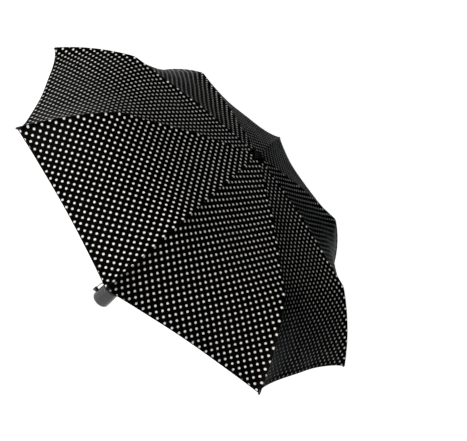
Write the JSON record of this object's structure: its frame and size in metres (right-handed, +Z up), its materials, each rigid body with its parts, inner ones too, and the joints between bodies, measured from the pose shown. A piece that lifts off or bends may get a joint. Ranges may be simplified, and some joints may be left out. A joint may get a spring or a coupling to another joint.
{
  "type": "children's folding umbrella",
  "caption": "Open three-fold children's umbrella: eight-gore spotted cover on hinged ribs, telescoping shaft, sliding runner with lock, round handle and wrist strap.",
  "frame": {"origin": "centre of the handle's flat end face", "axes": "+Z up the shaft to the crown, -Y along rib 1, ribs every 45 degrees; the wrist strap is on the -X side"},
  "size_m": [0.892, 0.892, 0.524],
  "materials": {
    "moulded_black": "gloss black moulded plastic",
    "moulded_dark": "satin black moulded plastic",
    "steel_tube": "plated tube, drawn along its length",
    "steel_rib": "galvanised folded channel",
    "spring_wire": "drawn spring wire",
    "canopy_cloth": "black satin weave with white spots",
    "strap_ribbon": "woven black ribbon"
  },
  "bodies": {
    "handle": {"handle_shell": "moulded_black", "handle_end_cap": "moulded_black", "handle_core": "moulded_dark", "tube_pin": "spring_wire", "strap_anchor": "moulded_black", "wrist_strap": "strap_ribbon", "lower_tube": "steel_tube"},
    "middle_shaft": {"middle_tube": "steel_tube"},
    "top_shaft": {"top_tube": "steel_tube", "crown_hub": "moulded_dark", "crown_wire": "spring_wire", "crown_pin": "spring_wire", "top_cap": "moulded_dark", "cap_washer": "moulded_dark", "canopy_panel_1": "canopy_cloth", "canopy_panel_2": "canopy_cloth", "canopy_panel_3": "canopy_cloth", "canopy_panel_4": "canopy_cloth", "canopy_panel_5": "canopy_cloth", "canopy_panel_6": "canopy_cloth", "canopy_panel_7": "canopy_cloth", "canopy_panel_8": "canopy_cloth"},
    "runner_body": {"runner": "moulded_dark", "runner_wire": "spring_wire"},
    "lock": {"runner_button": "moulded_dark"},
    "inner_1": {"rib_inner_1": "steel_rib"},
    "mid_1": {"rib_middle_1": "steel_rib"},
    "outer_1": {"rib_outer_1": "spring_wire"},
    "strut_1": {"strut_1": "steel_rib"},
    "inner_2": {"rib_inner_2": "steel_rib"},
    "mid_2": {"rib_middle_2": "steel_rib"},
    "outer_2": {"rib_outer_2": "spring_wire"},
    "strut_2": {"strut_2": "steel_rib"},
    "inner_3": {"rib_inner_3": "steel_rib"},
    "mid_3": {"rib_middle_3": "steel_rib"},
    "outer_3": {"rib_outer_3": "spring_wire"},
    "strut_3": {"strut_3": "steel_rib"},
    "inner_4": {"rib_inner_4": "steel_rib"},
    "mid_4": {"rib_middle_4": "steel_rib"},
    "outer_4": {"rib_outer_4": "spring_wire"},
    "strut_4": {"strut_4": "steel_rib"},
    "inner_5": {"rib_inner_5": "steel_rib"},
    "mid_5": {"rib_middle_5": "steel_rib"},
    "outer_5": {"rib_outer_5": "spring_wire"},
    "strut_5": {"strut_5": "steel_rib"},
    "inner_6": {"rib_inner_6": "steel_rib"},
    "mid_6": {"rib_middle_6": "steel_rib"},
    "outer_6": {"rib_outer_6": "spring_wire"},
    "strut_6": {"strut_6": "steel_rib"},
    "inner_7": {"rib_inner_7": "steel_rib"},
    "mid_7": {"rib_middle_7": "steel_rib"},
    "outer_7": {"rib_outer_7": "spring_wire"},
    "strut_7": {"strut_7": "steel_rib"},
    "inner_8": {"rib_inner_8": "steel_rib"},
    "mid_8": {"rib_middle_8": "steel_rib"},
    "outer_8": {"rib_outer_8": "spring_wire"},
    "strut_8": {"strut_8": "steel_rib"}
  },
  "joints": [
    {"name": "shaft_lower", "type": "slide", "parent": "handle", "child": "middle_shaft", "axis": [0, 0, -1], "range_m": [0, 0.135]},
    {"name": "shaft_upper", "type": "slide", "parent": "middle_shaft", "child": "top_shaft", "axis": [0, 0, -1], "range_m": [0, 0.135]},
    {"name": "fold", "type": "hinge", "parent": "top_shaft", "child": "inner_1", "pos_m": [0, -0.01, 0.512], "axis": [1, 0, 0], "range_deg": [0, 79.3], "deforming": ["canopy_panel_1", "canopy_panel_2", "canopy_panel_3", "canopy_panel_4", "canopy_panel_5", "canopy_panel_6", "canopy_panel_7", "canopy_panel_8"]},
    {"name": "elbow_1", "type": "hinge", "parent": "inner_1", "child": "mid_1", "pos_m": [0, -0.15872, 0.49242], "axis": [1, 0, 0], "range_deg": [-182.1, 0]},
    {"name": "knee_1", "type": "hinge", "parent": "mid_1", "child": "outer_1", "pos_m": [0, -0.31004, 0.45887], "axis": [1, 0, 0], "range_deg": [0, 147.6]},
    {"name": "strut_pivot_1", "type": "hinge", "parent": "inner_1", "child": "strut_1", "pos_m": [0, -0.08664, 0.49752], "axis": [1, 0, 0], "range_deg": [-158.7, 0]},
    {"name": "crown_pivot_2", "type": "hinge", "parent": "top_shaft", "child": "inner_2", "pos_m": [0.00707, -0.00707, 0.512], "axis": [0.7071, 0.7071, 0], "range_deg": [0, 79.4]},
    {"name": "elbow_2", "type": "hinge", "parent": "inner_2", "child": "mid_2", "pos_m": [0.11223, -0.11223, 0.49242], "axis": [0.7071, 0.7071, 0], "range_deg": [-182.1, 0]},
    {"name": "knee_2", "type": "hinge", "parent": "mid_2", "child": "outer_2", "pos_m": [0.21923, -0.21923, 0.45887], "axis": [0.7071, 0.7071, 0], "range_deg": [0, 147.6]},
    {"name": "strut_pivot_2", "type": "hinge", "parent": "inner_2", "child": "strut_2", "pos_m": [0.06127, -0.06127, 0.49752], "axis": [0.7071, 0.7071, 0], "range_deg": [-158.7, 0]},
    {"name": "crown_pivot_3", "type": "hinge", "parent": "top_shaft", "child": "inner_3", "pos_m": [0.01, 0, 0.512], "axis": [0, 1, 0], "range_deg": [0, 79.4]},
    {"name": "elbow_3", "type": "hinge", "parent": "inner_3", "child": "mid_3", "pos_m": [0.15872, 0, 0.49242], "axis": [0, 1, 0], "range_deg": [-182.1, 0]},
    {"name": "knee_3", "type": "hinge", "parent": "mid_3", "child": "outer_3", "pos_m": [0.31004, 0, 0.45887], "axis": [0, 1, 0], "range_deg": [0, 147.6]},
    {"name": "strut_pivot_3", "type": "hinge", "parent": "inner_3", "child": "strut_3", "pos_m": [0.08664, 0, 0.49752], "axis": [0, 1, 0], "range_deg": [-158.7, 0]},
    {"name": "crown_pivot_4", "type": "hinge", "parent": "top_shaft", "child": "inner_4", "pos_m": [0.00707, 0.00707, 0.512], "axis": [-0.7071, 0.7071, 0], "range_deg": [0, 79.4]},
    {"name": "elbow_4", "type": "hinge", "parent": "inner_4", "child": "mid_4", "pos_m": [0.11223, 0.11223, 0.49242], "axis": [-0.7071, 0.7071, 0], "range_deg": [-182.1, 0]},
    {"name": "knee_4", "type": "hinge", "parent": "mid_4", "child": "outer_4", "pos_m": [0.21923, 0.21923, 0.45887], "axis": [-0.7071, 0.7071, 0], "range_deg": [0, 147.6]},
    {"name": "strut_pivot_4", "type": "hinge", "parent": "inner_4", "child": "strut_4", "pos_m": [0.06127, 0.06127, 0.49752], "axis": [-0.7071, 0.7071, 0], "range_deg": [-158.7, 0]},
    {"name": "crown_pivot_5", "type": "hinge", "parent": "top_shaft", "child": "inner_5", "pos_m": [0, 0.01, 0.512], "axis": [-1, 0, 0], "range_deg": [0, 79.4]},
    {"name": "elbow_5", "type": "hinge", "parent": "inner_5", "child": "mid_5", "pos_m": [0, 0.15872, 0.49242], "axis": [-1, 0, 0], "range_deg": [-182.1, 0]},
    {"name": "knee_5", "type": "hinge", "parent": "mid_5", "child": "outer_5", "pos_m": [0, 0.31004, 0.45887], "axis": [-1, 0, 0], "range_deg": [0, 147.6]},
    {"name": "strut_pivot_5", "type": "hinge", "parent": "inner_5", "child": "strut_5", "pos_m": [0, 0.08664, 0.49752], "axis": [-1, 0, 0], "range_deg": [-158.7, 0]},
    {"name": "crown_pivot_6", "type": "hinge", "parent": "top_shaft", "child": "inner_6", "pos_m": [-0.00707, 0.00707, 0.512], "axis": [-0.7071, -0.7071, 0], "range_deg": [0, 79.4]},
    {"name": "elbow_6", "type": "hinge", "parent": "inner_6", "child": "mid_6", "pos_m": [-0.11223, 0.11223, 0.49242], "axis": [-0.7071, -0.7071, 0], "range_deg": [-182.1, 0]},
    {"name": "knee_6", "type": "hinge", "parent": "mid_6", "child": "outer_6", "pos_m": [-0.21923, 0.21923, 0.45887], "axis": [-0.7071, -0.7071, 0], "range_deg": [0, 147.6]},
    {"name": "strut_pivot_6", "type": "hinge", "parent": "inner_6", "child": "strut_6", "pos_m": [-0.06127, 0.06127, 0.49752], "axis": [-0.7071, -0.7071, 0], "range_deg": [-158.7, 0]},
    {"name": "crown_pivot_7", "type": "hinge", "parent": "top_shaft", "child": "inner_7", "pos_m": [-0.01, 0, 0.512], "axis": [0, -1, 0], "range_deg": [0, 79.4]},
    {"name": "elbow_7", "type": "hinge", "parent": "inner_7", "child": "mid_7", "pos_m": [-0.15872, 0, 0.49242], "axis": [0, -1, 0], "range_deg": [-182.1, 0]},
    {"name": "knee_7", "type": "hinge", "parent": "mid_7", "child": "outer_7", "pos_m": [-0.31004, 0, 0.45887], "axis": [0, -1, 0], "range_deg": [0, 147.6]},
    {"name": "strut_pivot_7", "type": "hinge", "parent": "inner_7", "child": "strut_7", "pos_m": [-0.08664, 0, 0.49752], "axis": [0, -1, 0], "range_deg": [-158.7, 0]},
    {"name": "crown_pivot_8", "type": "hinge", "parent": "top_shaft", "child": "inner_8", "pos_m": [-0.00707, -0.00707, 0.512], "axis": [0.7071, -0.7071, 0], "range_deg": [0, 79.4]},
    {"name": "elbow_8", "type": "hinge", "parent": "inner_8", "child": "mid_8", "pos_m": [-0.11223, -0.11223, 0.49242], "axis": [0.7071, -0.7071, 0], "range_deg": [-182.1, 0]},
    {"name": "knee_8", "type": "hinge", "parent": "mid_8", "child": "outer_8", "pos_m": [-0.21923, -0.21923, 0.45887], "axis": [0.7071, -0.7071, 0], "range_deg": [0, 147.6]},
    {"name": "strut_pivot_8", "type": "hinge", "parent": "inner_8", "child": "strut_8", "pos_m": [-0.06127, -0.06127, 0.49752], "axis": [0.7071, -0.7071, 0], "range_deg": [-158.7, 0]},
    {"name": "runner_pivot", "type": "hinge", "parent": "strut_1", "child": "runner_body", "pos_m": [0, -0.01, 0.48304], "axis": [1, 0, 0], "range_deg": [0, 79.4]},
    {"name": "runner_lock", "type": "slide", "parent": "runner_body", "child": "lock", "axis": [0.9239, 0.3827, 0], "range_m": [0, 0.00085], "stiffness_N_per_m": 600, "springref_m": 0.00085}
  ],
  "couplings": [
    {"joint": "elbow_1", "follows": "fold", "ratio": -2.2951},
    {"joint": "knee_1", "follows": "fold", "ratio": 1.86},
    {"joint": "strut_pivot_1", "follows": "fold", "ratio": -2},
    {"joint": "crown_pivot_2", "follows": "fold", "ratio": 1},
    {"joint": "elbow_2", "follows": "fold", "ratio": -2.2951},
    {"joint": "knee_2", "follows": "fold", "ratio": 1.86},
    {"joint": "strut_pivot_2", "follows": "fold", "ratio": -2},
    {"joint": "crown_pivot_3", "follows": "fold", "ratio": 1},
    {"joint": "elbow_3", "follows": "fold", "ratio": -2.2951},
    {"joint": "knee_3", "follows": "fold", "ratio": 1.86},
    {"joint": "strut_pivot_3", "follows": "fold", "ratio": -2},
    {"joint": "crown_pivot_4", "follows": "fold", "ratio": 1},
    {"joint": "elbow_4", "follows": "fold", "ratio": -2.2951},
    {"joint": "knee_4", "follows": "fold", "ratio": 1.86},
    {"joint": "strut_pivot_4", "follows": "fold", "ratio": -2},
    {"joint": "crown_pivot_5", "follows": "fold", "ratio": 1},
    {"joint": "elbow_5", "follows": "fold", "ratio": -2.2951},
    {"joint": "knee_5", "follows": "fold", "ratio": 1.86},
    {"joint": "strut_pivot_5", "follows": "fold", "ratio": -2},
    {"joint": "crown_pivot_6", "follows": "fold", "ratio": 1},
    {"joint": "elbow_6", "follows": "fold", "ratio": -2.2951},
    {"joint": "knee_6", "follows": "fold", "ratio": 1.86},
    {"joint": "strut_pivot_6", "follows": "fold", "ratio": -2},
    {"joint": "crown_pivot_7", "follows": "fold", "ratio": 1},
    {"joint": "elbow_7", "follows": "fold", "ratio": -2.2951},
    {"joint": "knee_7", "follows": "fold", "ratio": 1.86},
    {"joint": "strut_pivot_7", "follows": "fold", "ratio": -2},
    {"joint": "crown_pivot_8", "follows": "fold", "ratio": 1},
    {"joint": "elbow_8", "follows": "fold", "ratio": -2.2951},
    {"joint": "knee_8", "follows": "fold", "ratio": 1.86},
    {"joint": "strut_pivot_8", "follows": "fold", "ratio": -2},
    {"joint": "runner_pivot", "follows": "fold", "ratio": 1}
  ]
}
